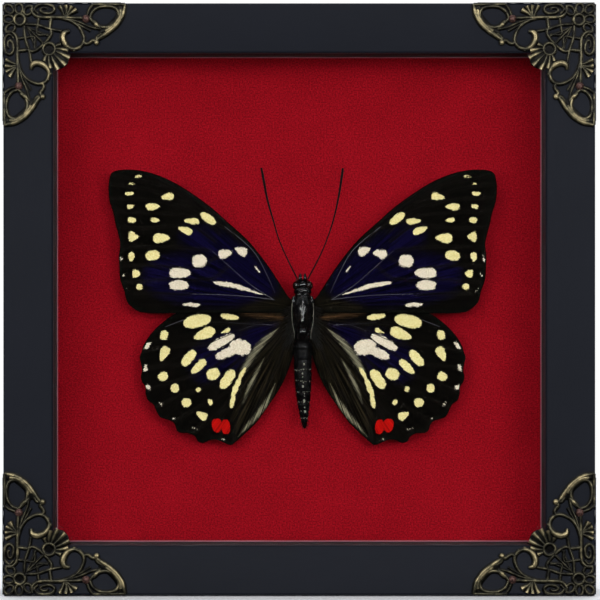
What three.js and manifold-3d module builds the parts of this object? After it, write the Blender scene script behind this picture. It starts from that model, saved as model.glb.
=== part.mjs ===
// A framed butterfly specimen: a square glazed box frame that stands on its lower edge.
// Millimetres, +Z up, the front facing -Y, the origin under the middle of the frame.
import * as THREE from 'three';
import { mergeVertices } from 'three/addons/utils/BufferGeometryUtils.js';
import Module from 'manifold-3d';

const wasm = await Module();
wasm.setup();

// ---- driving sizes ----
const frameSide = 150;        // outside of the wooden frame, square
const frameDepth = 28;
const faceWidth = 12.625;     // each rail's front face
const wallWidth = 8.625;      // each rail behind the rebate
const lipDepth = 4;           // wood in front of the glass
const arris = 0.5;            // broken edges of the rails' front face
const glassDepth = 2;
const boxDepth = 11;          // open space between the glass and the felt
const feltDepth = 0.75;
const boardDepth = 5;
const backingDepth = 2.5;
const slack = 0.25;           // all round the layers in the rebate

const cornerLeg = 30.25;      // a metal corner's reach along each side
const cornerRelief = 1.25;    // its embossed height on the face
const sheet = 0.25;           // its sheet, where it turns onto the frame's sides
const flapDepth = 6;          // how far its flaps reach back along the sides

const point = { width: 5, sheet: 0.5, driven: 3, shown: 9 };
const hanger = {
  length: 40, height: 6, sheet: 0.5, foot: 8, ramp: 1.5, standOff: 0.75,
  teeth: 9, toothDepth: 1.5, toothedEnd: 1,
};
const nail = { headRadius: 1.5, head: 0.5, shankRadius: 0.5, shank: 7, tip: 1, clearance: 0.25 };

const specimenShift = 0.875;  // the insect's midline, right of the frame's
const wingDepth = 0.5;
const bodyGap = 0.3;          // between the insect's parts, and under its body
const bodyStandOff = 4.5;     // from the felt to the insect's midline
const antenna = { radius: 0.14, clubRadius: 0.26, clubLength: 3.6 };

// ---- levels worked out from them ----
const half = frameSide / 2;
const frontY = -frameDepth / 2;
const backY = frameDepth / 2;
const glassFront = frontY + lipDepth;
const glassBack = glassFront + glassDepth;
const feltFront = glassBack + boxDepth;
const boardFront = feltFront + feltDepth;
const backingFront = boardFront + boardDepth;
const backingBack = backingFront + backingDepth;
const rebateHalf = half - wallWidth;
const layerSide = 2 * (rebateHalf - slack);
const spacerWidth = layerSide / 2 - (half - faceWidth);
const bodyY = feltFront - bodyStandOff;
const forewingBack = bodyY;         // the forewing lies over the hindwing
const hindwingBack = bodyY + wingDepth + bodyGap;

const material = {
  paint: new THREE.MeshStandardMaterial({ color: '#23262f', roughness: 0.5 }),
  bronze: new THREE.MeshStandardMaterial({ color: '#6b6248', roughness: 0.45, metalness: 1 }),
  glass: new THREE.MeshStandardMaterial({
    color: '#eef3f2', roughness: 0.02, transparent: true, opacity: 0.15,
  }),
  spacer: new THREE.MeshStandardMaterial({ color: '#16161a', roughness: 0.8 }),
  felt: new THREE.MeshStandardMaterial({ color: '#8a0b18', roughness: 0.95 }),
  board: new THREE.MeshStandardMaterial({ color: '#e9e7e0', roughness: 0.8 }),
  backing: new THREE.MeshStandardMaterial({ color: '#7a5a3c', roughness: 0.8 }),
  steel: new THREE.MeshStandardMaterial({ color: '#b9bcc0', roughness: 0.35, metalness: 1 }),
  brass: new THREE.MeshStandardMaterial({ color: '#b08d4a', roughness: 0.35, metalness: 1 }),
  pad: new THREE.MeshStandardMaterial({ color: '#1c1614', roughness: 0.9 }),
  wing: new THREE.MeshStandardMaterial({ color: '#15121f', roughness: 0.6 }),
  body: new THREE.MeshStandardMaterial({ color: '#0a0a0e', roughness: 0.4 }),
};

const object = new THREE.Group();
const frame = new THREE.Group();      // centred on the frame's middle
frame.position.z = sheet + half;
object.add(frame);
const specimen = new THREE.Group();
specimen.position.x = specimenShift;
frame.add(specimen);

function addPiece(parent, name, geometry, finish) {
  const mesh = new THREE.Mesh(geometry, material[finish]);
  mesh.name = name;
  parent.add(mesh);
  return mesh;
}

// ---- solids ----
function toSolid(geometry) {
  const bare = geometry.clone();
  bare.deleteAttribute('normal');
  bare.deleteAttribute('uv');
  const merged = mergeVertices(bare, 1e-5);
  return new wasm.Manifold(new wasm.Mesh({
    numProp: 3,
    vertProperties: new Float32Array(merged.attributes.position.array),
    triVerts: new Uint32Array(merged.index.array),
  }));
}

function toGeometry(solid) {
  const mesh = solid.getMesh();
  const geometry = new THREE.BufferGeometry();
  geometry.setAttribute('position', new THREE.BufferAttribute(mesh.vertProperties, 3));
  geometry.setIndex(new THREE.BufferAttribute(mesh.triVerts, 1));
  geometry.computeVertexNormals();
  return geometry;
}

function join(...parts) {
  return toGeometry(parts.map(toSolid).reduce((sum, part) => sum.add(part)));
}

function cut(body, ...tools) {
  return toGeometry(tools.map(toSolid).reduce((rest, tool) => rest.subtract(tool), toSolid(body)));
}

const past = 1;               // a cutter runs this far past the face it starts from

function box(x0, x1, y0, y1, z0, z1) {
  const geometry = new THREE.BoxGeometry(x1 - x0, y1 - y0, z1 - z0);
  return geometry.translate((x0 + x1) / 2, (y0 + y1) / 2, (z0 + z1) / 2);
}

function extrude(shape, depth, curveSegments = 12) {
  return new THREE.ExtrudeGeometry(shape, { depth, bevelEnabled: false, curveSegments });
}

// A shape drawn as seen from the front, grown from the level backFace towards the front.
function upright(shape, backFace, depth, curveSegments) {
  return extrude(shape, depth, curveSegments).rotateX(Math.PI / 2).translate(0, backFace, 0);
}

// A peg along Y, from y0 to y1.
function peg(x, z, radius, y0, y1) {
  return new THREE.CylinderGeometry(radius, radius, y1 - y0, 16).translate(x, (y0 + y1) / 2, z);
}

// Outlines run anticlockwise, because the holes in them run clockwise.
function polygon(points) {
  const outline = points.map(([x, y]) => new THREE.Vector2(x, y));
  if (THREE.ShapeUtils.isClockWise(outline)) outline.reverse();
  return new THREE.Shape(outline);
}

// ---- wooden frame ----
// The section is drawn from the outer side inwards, and each rail's ends are mitred at 45 degrees.
function railGeometry() {
  const section = polygon([
    [arris, frontY], [faceWidth - arris, frontY], [faceWidth, frontY + arris], [faceWidth, glassFront],
    [wallWidth, glassFront], [wallWidth, backY], [0, backY], [0, frontY + arris],
  ]);
  const geometry = extrude(section, 1);
  const place = geometry.attributes.position;
  for (let i = 0; i < place.count; i += 1) {
    const reach = half - place.getX(i);
    place.setXYZ(i, (1 - 2 * place.getZ(i)) * reach, place.getY(i), -reach);
  }
  geometry.computeVertexNormals();
  return geometry;
}

// A framer's point lies on the backing board, with its end driven into the rail.
function pointGeometry() {
  const edge = -rebateHalf;
  return box(-point.width / 2, point.width / 2, backingBack, backingBack + point.sheet,
    edge - point.driven, edge + point.shown);
}

const nailX = hanger.length / 2 - hanger.foot / 2;
const nailHole = nail.shankRadius + nail.clearance;
const hangerZ = half - wallWidth / 2;       // along the middle of the top rail's back

function addFrame() {
  const quarter = { bottom: 0, left: 1, top: 2, right: 3 };
  const slot = pointGeometry();
  const holeEnd = backY - nail.shank - nail.clearance;
  const holes = [-nailX, nailX].map((x) => peg(x, -hangerZ, nailHole, holeEnd, backY + past));
  for (const [side, turns] of Object.entries(quarter)) {
    const cuts = side === 'top' ? [slot, ...holes] : [slot];
    const rail = addPiece(frame, `rail_${side}`, cut(railGeometry(), ...cuts), 'paint');
    const holder = addPiece(frame, `point_${side}`, pointGeometry(), 'steel');
    rail.rotation.y = turns * Math.PI / 2;
    holder.rotation.y = turns * Math.PI / 2;
  }
}

// ---- layers in the rebate ----
function addLayers() {
  const reach = layerSide / 2;
  const inner = reach - spacerWidth;
  const layer = (y0, y1) => box(-reach, reach, y0, y1, -reach, reach);
  addPiece(frame, 'glass_pane', layer(glassFront, glassBack), 'glass');
  addPiece(frame, 'felt_sheet', layer(feltFront, boardFront), 'felt');
  addPiece(frame, 'mount_board', layer(boardFront, backingFront), 'board');
  addPiece(frame, 'backing_board', layer(backingFront, backingBack), 'backing');
  addPiece(frame, 'spacer_top', box(-reach, reach, glassBack, feltFront, inner, reach), 'spacer');
  addPiece(frame, 'spacer_bottom', box(-reach, reach, glassBack, feltFront, -reach, -inner), 'spacer');
  addPiece(frame, 'spacer_left', box(-reach, -inner, glassBack, feltFront, -inner, inner), 'spacer');
  addPiece(frame, 'spacer_right', box(inner, reach, glassBack, feltFront, -inner, inner), 'spacer');
}

// ---- hanger ----
// The strip's ends lie flat on the rail and its toothed middle stands off, drawn from above.
function addHanger() {
  const end = hanger.length / 2;
  const foot = end - hanger.foot;
  const ramp = foot - hanger.ramp;
  const flat = backY;
  const proud = backY + hanger.standOff;
  const strip = polygon([
    [-end, flat], [-foot, flat], [-ramp, proud], [ramp, proud], [foot, flat], [end, flat],
    [end, flat + hanger.sheet], [foot, flat + hanger.sheet], [ramp, proud + hanger.sheet],
    [-ramp, proud + hanger.sheet], [-foot, flat + hanger.sheet], [-end, flat + hanger.sheet],
  ]);
  const bottom = hangerZ - hanger.height / 2;
  const blank = extrude(strip, hanger.height).translate(0, 0, bottom);
  const pitch = 2 * (ramp - hanger.toothedEnd) / hanger.teeth;
  const notchHalf = 0.4 * pitch;
  const notches = Array.from({ length: hanger.teeth }, (_, i) => {
    const x = (i - (hanger.teeth - 1) / 2) * pitch;
    const notch = polygon([
      [x - notchHalf, bottom - past], [x + notchHalf, bottom - past], [x, bottom + hanger.toothDepth],
    ]);
    return upright(notch, backY + 2 * past, 2 * past);
  });
  const holes = [-nailX, nailX].map((x) => peg(x, hangerZ, nailHole, backY - past, backY + past));
  addPiece(frame, 'hanger', cut(blank, ...notches, ...holes), 'brass');

  const underHead = backY + hanger.sheet;
  const profile = [
    [0, 0], [nail.shankRadius, nail.tip], [nail.shankRadius, nail.shank], [nail.headRadius, nail.shank],
    [nail.headRadius, nail.shank + nail.head / 2], [0, nail.shank + nail.head],
  ].map(([r, y]) => new THREE.Vector2(r, y));
  for (const [side, x] of [['left', -nailX], ['right', nailX]]) {
    const brad = addPiece(frame, `hanger_nail_${side}`, new THREE.LatheGeometry(profile, 12), 'steel');
    brad.position.set(x, underHead - nail.shank, hangerZ);
  }
}

// ---- metal corners ----
// Drawn for the top left corner: u runs right and v runs down from the frame's corner.
const cornerEdge = [
  [cornerLeg, -sheet], [29.6, 2.3], [27.5, 5.6], [25.3, 7.4], [23.8, 9.9], [22, 9.2],
  [20.4, 10.4], [18.4, 11.5], [16.6, 11.2], [17.2, 13.7],
];
const cornerDiagonal = [15.9, 15.9];
const ringHoles = [[4.05, 4.05, 1], [11.3, 11.3, 1.2], [8.4, 8.4, 0.9]];      // u, v, radius; on the diagonal
const sideHoles = [                                                           // u, v, half width, half height
  [24.9, 3.5, 3.1, 2.3], [17.3, 8.2, 1.8, 1.8], [10.1, 1.5, 1.6, 0.5],
  [13.2, 7, 1.4, 1.5], [7.6, 5.2, 0.8, 0.8],
];
const flapEdge = [                                                            // along the edge, reach
  [cornerLeg, 1], [26, 2.5], [22, 3], [19, 4.5], [14, 4.2], [9, 6], [4, 4.8],
];
const flapHoles = [[24.5, 1.6, 2.2, 0.8], [15, 2.1, 1.8, 1.1], [8.6, 2.8, 1.6, 1.6]];

function ellipse(u, v, a, b) {
  const shape = new THREE.Path();
  shape.absellipse(u, -v, a, b, 0, 2 * Math.PI, true);
  return shape;
}

function cornerGeometry() {
  const mirrored = cornerEdge.map(([u, v]) => [v, u]).reverse();
  const outline = [[-sheet, -sheet], ...cornerEdge, cornerDiagonal, ...mirrored];
  const face = polygon(outline.map(([u, v]) => [u, -v]));
  for (const [u, v, r] of ringHoles) face.holes.push(ellipse(u, v, r, r));
  for (const [u, v, a, b] of sideHoles) face.holes.push(ellipse(u, v, a, b), ellipse(v, u, b, a));

  const root = frontY - cornerRelief;
  const flap = polygon([
    [-sheet, root], [cornerLeg, root], ...flapEdge.map(([along, reach]) => [along, frontY + reach]),
    [-sheet, frontY + flapDepth],
  ]);
  for (const [along, reach, a, b] of flapHoles) {
    const hole = new THREE.Path();
    hole.absellipse(along, frontY + reach, a, b, 0, 2 * Math.PI, true);
    flap.holes.push(hole);
  }
  const topFlap = extrude(flap, sheet, 5);
  const sideFlap = extrude(flap, sheet, 5).rotateY(Math.PI / 2).translate(-sheet, 0, 0);
  return join(upright(face, frontY, cornerRelief, 5), topFlap, sideFlap);
}

function addCorners() {
  const quarter = { top_left: 0, bottom_left: 1, bottom_right: 2, top_right: 3 };
  for (const [corner, turns] of Object.entries(quarter)) {
    const turned = new THREE.Group();
    turned.rotation.y = -turns * Math.PI / 2;
    frame.add(turned);
    const piece = addPiece(turned, `corner_${corner}`, cornerGeometry(), 'bronze');
    piece.position.set(-half, 0, half);
  }
}

// ---- wings ----
// Each outline is [out from the midline, up from the frame's middle], run from the root along the
// leading edge to the tip and back.
const forewingOutline = [
  [3.6, 0.4], [8.5, 8.1], [13.7, 14.7], [18.9, 19.5], [24.4, 24.3], [31.3, 29], [36.6, 31.6], [41.6, 33],
  [46.2, 33.2], [49.1, 31.7], [50.1, 28.1], [49.6, 24], [48.4, 19.5], [47.6, 14.7], [47.2, 8.8], [46.8, 4],
  [45.4, 0.1], [42.3, -3], [39.9, -3.5], [31.3, -3.6], [12.3, -3.3], [6.1, -1.6], [3.8, -1],
];
const hindwingOutline = [
  [3.5, -2.6], [12.2, -2.8], [24, -2.4], [31.6, -3.3], [35.8, -5.8], [39.1, -9.1], [41.2, -12.8], [41.5, -16],
  [41.1, -20.9], [39.9, -25.5], [37.3, -28.7], [34.4, -31.1], [31.6, -34], [27.9, -35], [25.4, -36.6],
  [21.8, -36.1], [18.5, -37.1], [14.9, -34.6], [11.9, -31.6], [8.5, -26.9], [5.6, -22.4], [3.4, -17.7],
  [3.3, -12], [3.4, -8],
];

function wingGeometry(outline, side, back) {
  const curve = new THREE.CatmullRomCurve3(outline.map(([out, up]) => new THREE.Vector3(side * out, up, 0)),
    true, 'centripetal');
  const rim = curve.getPoints(outline.length * 2).slice(0, -1);
  return upright(polygon(rim.map((p) => [p.x, p.y])), back, wingDepth);
}

function addWings() {
  for (const [name, side] of [['left', -1], ['right', 1]]) {
    addPiece(specimen, `forewing_${name}`, wingGeometry(forewingOutline, side, forewingBack), 'wing');
    addPiece(specimen, `hindwing_${name}`, wingGeometry(hindwingOutline, side, hindwingBack), 'wing');
  }
}

// ---- body ----
// Profiles are [height from the frame's middle, radius], from the tail end up.
const thoraxProfile = [
  [-9.8, 0], [-9.5, 1.1], [-8.4, 2], [-6.4, 2.7], [-4, 3], [-1.6, 2.9], [0.4, 2.4], [1.6, 1.6], [1.9, 0],
];
const abdomenProfile = [
  [-33.3, 0], [-32.6, 0.55], [-31, 1], [-28.6, 1.55], [-26, 1.9], [-23.5, 2.1], [-18, 2.2], [-14, 2.2],
  [-11.6, 1.9], [-10.4, 1.2], [-10.1, 0],
];
const bodyFlat = 0.9;         // the insect's body is a little flatter than it is wide
const headHeight = 3.65;
const headRadius = 1.5;
const eye = { out: 1.7, up: 3.5, radius: 1.1 };
const palp = { out: 0.6, from: 4.2, to: 7, radius: 0.45 };
const pad = { width: 3, bottom: -6.5, top: -0.5 };

function bodyOfRevolution(profile, sides) {
  const points = profile.map(([height, radius]) => new THREE.Vector2(radius, height));
  return new THREE.LatheGeometry(points, sides).rotateX(Math.PI / 2).scale(1, bodyFlat, 1)
    .translate(0, bodyY, 0);
}

function headGeometry() {
  const ball = (x, z, radius) => new THREE.SphereGeometry(radius, 14, 10).translate(x, bodyY, z);
  const spike = (x) => new THREE.ConeGeometry(palp.radius, palp.to - palp.from, 8)
    .rotateX(Math.PI / 2).translate(x, bodyY, (palp.from + palp.to) / 2);
  return join(ball(0, headHeight, headRadius), ball(-eye.out, eye.up, eye.radius),
    ball(eye.out, eye.up, eye.radius), spike(-palp.out), spike(palp.out));
}

// The two antennae bow differently: [out, up] from the head to the tip.
const antennaRoutes = {
  left: [[1.35, 5.2], [4, 10.5], [6.1, 15.4], [7.4, 19.8], [9, 25.4], [10, 30.6], [10.6, 33.7]],
  right: [[1.35, 5.2], [4.8, 11.9], [7, 17.5], [8.4, 22.4], [9.4, 27.3], [10.1, 31.9], [10.3, 33.6]],
};

function antennaGeometry(route, side) {
  const path = new THREE.CatmullRomCurve3(route.map(([out, up]) => new THREE.Vector3(side * out, bodyY, up)));
  const ring = new THREE.Shape();
  ring.absarc(0, 0, antenna.radius, 0, 2 * Math.PI);
  const stem = new THREE.ExtrudeGeometry(ring, {
    steps: 14, curveSegments: 4, bevelEnabled: false, extrudePath: path,
  });
  const tip = path.getPointAt(1);
  const along = path.getTangentAt(1);
  const club = new THREE.SphereGeometry(1, 8, 8)
    .scale(antenna.clubRadius, antenna.clubLength / 2, antenna.clubRadius)
    .applyQuaternion(new THREE.Quaternion().setFromUnitVectors(new THREE.Vector3(0, 1, 0), along))
    .translate(tip.x, tip.y, tip.z);
  return join(stem, club);
}

function addBody() {
  addPiece(specimen, 'thorax', bodyOfRevolution(thoraxProfile, 20), 'body');
  addPiece(specimen, 'abdomen', bodyOfRevolution(abdomenProfile, 16), 'body');
  addPiece(specimen, 'head', headGeometry(), 'body');
  addPiece(specimen, 'antenna_left', antennaGeometry(antennaRoutes.left, -1), 'body');
  addPiece(specimen, 'antenna_right', antennaGeometry(antennaRoutes.right, 1), 'body');
  const thoraxRadius = Math.max(...thoraxProfile.map(([, radius]) => radius));
  const padFront = bodyY + thoraxRadius * bodyFlat + bodyGap;
  const padShape = box(-pad.width / 2, pad.width / 2, padFront, feltFront, pad.bottom, pad.top);
  addPiece(specimen, 'specimen_pad', padShape, 'pad');
}

addFrame();
addLayers();
addHanger();
addCorners();
addWings();
addBody();

export default object;
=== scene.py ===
# A framed butterfly specimen: its looks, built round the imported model. Units are metres.
import math
import random

import bmesh
import bpy
from mathutils import Matrix, Vector, kdtree, noise


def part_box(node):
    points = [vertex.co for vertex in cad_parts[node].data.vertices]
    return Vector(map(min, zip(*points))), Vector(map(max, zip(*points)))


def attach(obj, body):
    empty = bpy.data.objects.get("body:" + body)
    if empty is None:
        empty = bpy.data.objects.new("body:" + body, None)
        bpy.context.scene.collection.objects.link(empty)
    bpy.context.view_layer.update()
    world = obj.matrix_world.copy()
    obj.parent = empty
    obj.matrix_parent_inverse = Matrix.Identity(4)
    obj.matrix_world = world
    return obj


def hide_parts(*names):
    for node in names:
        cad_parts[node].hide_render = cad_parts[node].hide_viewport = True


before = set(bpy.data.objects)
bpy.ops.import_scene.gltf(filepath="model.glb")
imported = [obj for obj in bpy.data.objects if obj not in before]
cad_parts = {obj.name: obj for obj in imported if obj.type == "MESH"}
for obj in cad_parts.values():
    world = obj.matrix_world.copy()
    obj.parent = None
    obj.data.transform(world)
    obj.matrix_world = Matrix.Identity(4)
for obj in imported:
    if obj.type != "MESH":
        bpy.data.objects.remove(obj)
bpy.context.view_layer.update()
scene = bpy.context.scene
mm = 0.001
print("frame loaded")


def hexColour(text):
    # sRGB hex to the linear colour that shaders take
    channels = [int(text[i:i + 2], 16) / 255 for i in (1, 3, 5)]
    return [c / 12.92 if c <= 0.04045 else ((c + 0.055) / 1.055) ** 2.4 for c in channels] + [1.0]


def feed(node, inputs):
    # a node's first output or a socket is linked, a hex text is a colour, the rest are plain values
    for name, value in inputs.items():
        if isinstance(value, bpy.types.Node):
            value = value.outputs[0]
        if isinstance(value, bpy.types.NodeSocket):
            node.id_data.links.new(value, node.inputs[name])
        elif isinstance(value, str):
            node.inputs[name].default_value = hexColour(value)
        else:
            node.inputs[name].default_value = value


def addNode(tree, kind, inputs=None, stops=(), **settings):
    # adds one node; stops are a colour ramp's (position, hex) pairs in rising order
    node = tree.nodes.new("ShaderNode" + kind)
    for name, value in settings.items():
        setattr(node, name, value)
    feed(node, inputs or {})
    for index, (position, colour) in enumerate(stops):
        elements = node.color_ramp.elements
        stop = elements[index] if index < 2 else elements.new(position)
        stop.position = position
        stop.color = hexColour(colour)
    return node


# a colour Mix node has its factor, first and second colour at these inputs, and its colour at this output
factorIn, firstIn, secondIn, colourOut = 0, 6, 7, 2


def newMaterial(name):
    material = bpy.data.materials.new(name)
    material.use_nodes = True
    tree = material.node_tree
    tree.nodes.clear()
    shader = addNode(tree, "BsdfPrincipled")
    addNode(tree, "OutputMaterial", {"Surface": shader})
    return material, tree, shader, addNode(tree, "TexCoord").outputs["Object"]


def mottledMaterial(name, clump, detail, stops, finish):
    # a material whose colour wanders between a few tones in clumps of so many mm
    material, tree, shader, place = newMaterial(name)
    clumps = addNode(tree, "TexNoise", {"Vector": place, "Scale": 1 / (clump * mm), "Detail": detail})
    feed(shader, {"Base Color": addNode(tree, "ValToRGB", {0: clumps}, stops)} | finish)
    return material


def cellMaterial(name, cell, stops, finish, depth=0):
    # a material of cells so many mm across, toned from their middles outwards; depth is how many mm
    # they sink, or stand out where it is negative
    material, tree, shader, place = newMaterial(name)
    cells = addNode(tree, "TexVoronoi", {"Vector": place, "Scale": 1 / (cell * mm)})
    feed(shader, {"Base Color": addNode(tree, "ValToRGB", {0: cells}, stops)} | finish)
    if depth:
        feed(shader, {"Normal": addNode(tree, "Bump", {"Height": cells, "Strength": 0.4,
                                                       "Distance": abs(depth) * mm}, invert=depth < 0)})
    return material


def reshape(shape, scale=(1, 1, 1), move=(0, 0, 0)):
    bmesh.ops.scale(shape, verts=shape.verts, vec=scale)
    bmesh.ops.translate(shape, verts=shape.verts, vec=move)


def keepPiece(name, shape, materials, node, sharpAngle=40):
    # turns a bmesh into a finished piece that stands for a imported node
    mesh = bpy.data.meshes.new(name)
    shape.to_mesh(mesh)
    shape.free()
    mesh.shade_smooth()
    mesh.set_sharp_from_angle(angle=math.radians(sharpAngle))
    for material in materials:
        mesh.materials.append(material)
    piece = bpy.data.objects.new(name, mesh)
    scene.collection.objects.link(piece)
    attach(piece, "root")
    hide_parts(node)
    return piece


def easeEdges(node, suffix, material, edge, segments=2):
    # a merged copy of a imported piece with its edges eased, as sawn, cut or stamped stock has them
    shape = bmesh.new()
    shape.from_mesh(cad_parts[node].data)
    bmesh.ops.remove_doubles(shape, verts=shape.verts, dist=0.002 * mm)
    bmesh.ops.dissolve_limit(shape, angle_limit=math.radians(1), verts=shape.verts, edges=shape.edges)
    sharp = [e for e in shape.edges if len(e.link_faces) == 2 and e.calc_face_angle() > math.radians(20)]
    bmesh.ops.bevel(shape, geom=sharp, offset=edge * mm, segments=segments, profile=0.5,
                    affect="EDGES", clamp_overlap=True, material=-1)
    return keepPiece(node + suffix, shape, [material], node, 20)


studio = {
    "distance": 1.0,            # camera to the frame's front face
    "pictureWidth": 0.152,      # what the picture takes in at that face
    "front": -0.014,
    "middle": (0.00019, 0.07506),
    "keyPower": 3.0,
    "sidePower": 2.7,
    "rightShare": 1.15,         # the right softbox against the left one
    "ceiling": 1.0,             # the pale surroundings above and behind, and the heights between which
    "ceilingFrom": 0.35, "ceilingFull": 0.8, "behindFull": 0.4,     # they come up, as parts of a unit ray
    "floorRadius": 0.6, "floorDrop": 0.02,      # m, and mm below the frame
}
lens = bpy.data.cameras.new("camera")
lens.sensor_width = 36
lens.lens = 36 * studio["distance"] / studio["pictureWidth"]
lens.clip_start = 0.01
camera = bpy.data.objects.new("camera", lens)
camera.location = (studio["middle"][0], studio["front"] - studio["distance"], studio["middle"][1])
camera.rotation_euler = (math.radians(90), 0, 0)
scene.collection.objects.link(camera)
scene.camera = camera
scene.view_settings.view_transform = "Standard"


def addLamp(name, place, size, power):
    # softboxes stand above the lens, so the glass mirrors none of them in a level or higher view
    light = bpy.data.lights.new(name, "AREA")
    light.shape = "RECTANGLE"
    light.size, light.size_y = size
    light.energy = power
    lamp = bpy.data.objects.new(name, light)
    lamp.location = place
    lamp.rotation_euler = (Vector((0, 0, 0.075)) - Vector(place)).to_track_quat("-Z", "Y").to_euler()
    scene.collection.objects.link(lamp)


addLamp("softbox_key", (0.0, -1.2, 0.47), (0.4, 0.36), studio["keyPower"])
addLamp("softbox_left", (-0.62, -1.05, 0.24), (0.4, 0.26), studio["sidePower"])
addLamp("softbox_right", (0.62, -1.05, 0.24), (0.4, 0.26), studio["sidePower"] * studio["rightShare"])
addLamp("softbox_back", (0.5, 1.2, 0.8), (0.9, 0.7), 2 * studio["keyPower"])
addLamp("softbox_back_low", (-0.9, 0.9, 0.35), (0.6, 0.5), studio["keyPower"])

world = bpy.data.worlds.new("studio")
scene.world = world
world.use_nodes = True
tree = world.node_tree
tree.nodes.clear()
height = addNode(tree, "SeparateXYZ", {0: addNode(tree, "TexCoord").outputs["Generated"]})
ceiling = addNode(tree, "MapRange", {"Value": height.outputs["Z"], "From Min": studio["ceilingFrom"],
                                     "From Max": studio["ceilingFull"], "To Max": studio["ceiling"]})
behind = addNode(tree, "MapRange", {"Value": height.outputs["Y"], "From Max": studio["behindFull"],
                                    "To Max": studio["ceiling"]})
strength = addNode(tree, "Math", {0: ceiling, 1: behind}, operation="MAXIMUM")
pale = addNode(tree, "Background", {"Color": "#FFFFFF", "Strength": 1.0})
roof = addNode(tree, "Background", {"Color": "#F6F8FF", "Strength": strength})
seen = addNode(tree, "LightPath")
sky = addNode(tree, "MixShader", {0: seen.outputs["Is Camera Ray"], 1: roof, 2: pale})
addNode(tree, "OutputWorld", {"Surface": sky})

paperFloor, tree, shader, _ = newMaterial("matte_paper_floor")    # seamless white background paper
feed(shader, {"Base Color": "#FCFCFC", "Roughness": 0.9})
shape = bmesh.new()
bmesh.ops.create_circle(shape, cap_ends=True, segments=96, radius=studio["floorRadius"])
reshape(shape, move=(0, 0, -studio["floorDrop"] * mm))
mesh = bpy.data.meshes.new("floor")
shape.to_mesh(mesh)
shape.free()
mesh.materials.append(paperFloor)
floor = bpy.data.objects.new("floor", mesh)
floor.visible_glossy = floor.visible_transmission = False      # keeps the paper out of the glass
scene.collection.objects.link(floor)
print("camera, lights and floor placed")


rails = {
    "edge": 0.12,               # mm, what the sanding takes off each edge
    "colour": "#1A1D26",
    "shade": "#161920",
    "poreLength": 9.0,          # mm
    "poreWidth": 0.35,          # mm
}


def satinPaint(name, grainAxis):
    # close-grained hardwood sprayed with satin blue-black lacquer: an even colour, long faint pores
    # and a slight orange peel that softens the highlights
    material, tree, shader, place = newMaterial(name)
    stretch = [1.0, 1.0, 1.0]
    stretch[grainAxis] = rails["poreWidth"] / rails["poreLength"]
    along = addNode(tree, "Mapping", {"Vector": place, "Scale": stretch})
    pores = addNode(tree, "TexNoise", {"Vector": along, "Scale": 1 / (rails["poreWidth"] * mm),
                                       "Detail": 3.0, "Roughness": 0.6})
    clouds = addNode(tree, "TexNoise", {"Vector": place, "Scale": 1 / (22 * mm), "Detail": 4.0})
    peel = addNode(tree, "TexNoise", {"Vector": place, "Scale": 1 / (0.9 * mm), "Detail": 1.0})
    colour = addNode(tree, "Mix", {factorIn: clouds, firstIn: rails["shade"],
                                   secondIn: rails["colour"]}, data_type="RGBA")
    gloss = addNode(tree, "MapRange", {"Value": pores, "From Min": 0.3, "From Max": 0.7,
                                       "To Min": 0.5, "To Max": 0.62})
    poreBump = addNode(tree, "Bump", {"Height": pores, "Strength": 0.25, "Distance": 0.05 * mm})
    peelBump = addNode(tree, "Bump", {"Height": peel, "Strength": 0.3, "Distance": 0.02 * mm,
                                      "Normal": poreBump})
    feed(shader, {"Base Color": colour.outputs[colourOut], "Roughness": gloss,
                  "Normal": peelBump, "Specular IOR Level": 0.12})
    return material


uprightPaint = satinPaint("satin_lacquer_upright", 2)
levelPaint = satinPaint("satin_lacquer_level", 0)
for node, material in (("rail_left", uprightPaint), ("rail_right", uprightPaint),
                       ("rail_top", levelPaint), ("rail_bottom", levelPaint)):
    easeEdges(node, "_lacquered", material, rails["edge"], 3)
print("rails done")


pane, tree, shader, _ = newMaterial("clear_float_glass")
# 2 mm float glass, polished by floating: clear, with seamed edges; light passes straight through it
feed(shader, {"Base Color": "#FAFDFC", "Roughness": 0.0, "IOR": 1.52, "Transmission Weight": 1.0})
clearWay = addNode(tree, "BsdfTransparent")
rays = addNode(tree, "LightPath")
either = addNode(tree, "MixShader", {0: rays.outputs["Is Shadow Ray"], 1: shader, 2: clearWay})
feed(next(n for n in tree.nodes if n.type == "OUTPUT_MATERIAL"), {"Surface": either})
easeEdges("glass_pane", "_float", pane, 0.1)
print("glass done")


box = {
    "feltCells": 110,
    "feltSwell": 0.05,          # mm, how far the felt rises and falls
    "napSize": 0.38,            # mm, the clumps that show, coarser than the real fibres
    "feltDark": "#6A0510",
    "feltMid": "#840815",
    "feltLight": "#A21222",
    "middleUp": 75.25, "wallAt": 62.375,        # mm, the felt's middle, and the inner walls from it
    # a painted highlight along the inner walls: how many mm wide it is, and its colour
    "highlightBand": 0.32,        # mm
    "highlightColour": "#94606B",
}
# skived closed-cell foam strip: near black, matt, with fine open cells on its cut face
foamStrip = cellMaterial("black_closed_cell_foam", 0.35, [(0.1, "#030304"), (0.7, "#08090C")],
                         {"Roughness": 0.82}, 0.08)
for side in ("top", "bottom", "left", "right"):
    easeEdges("spacer_" + side, "_foam", foamStrip, 0.15)

redFelt, tree, shader, place = newMaterial("pressed_wool_felt")
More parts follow.
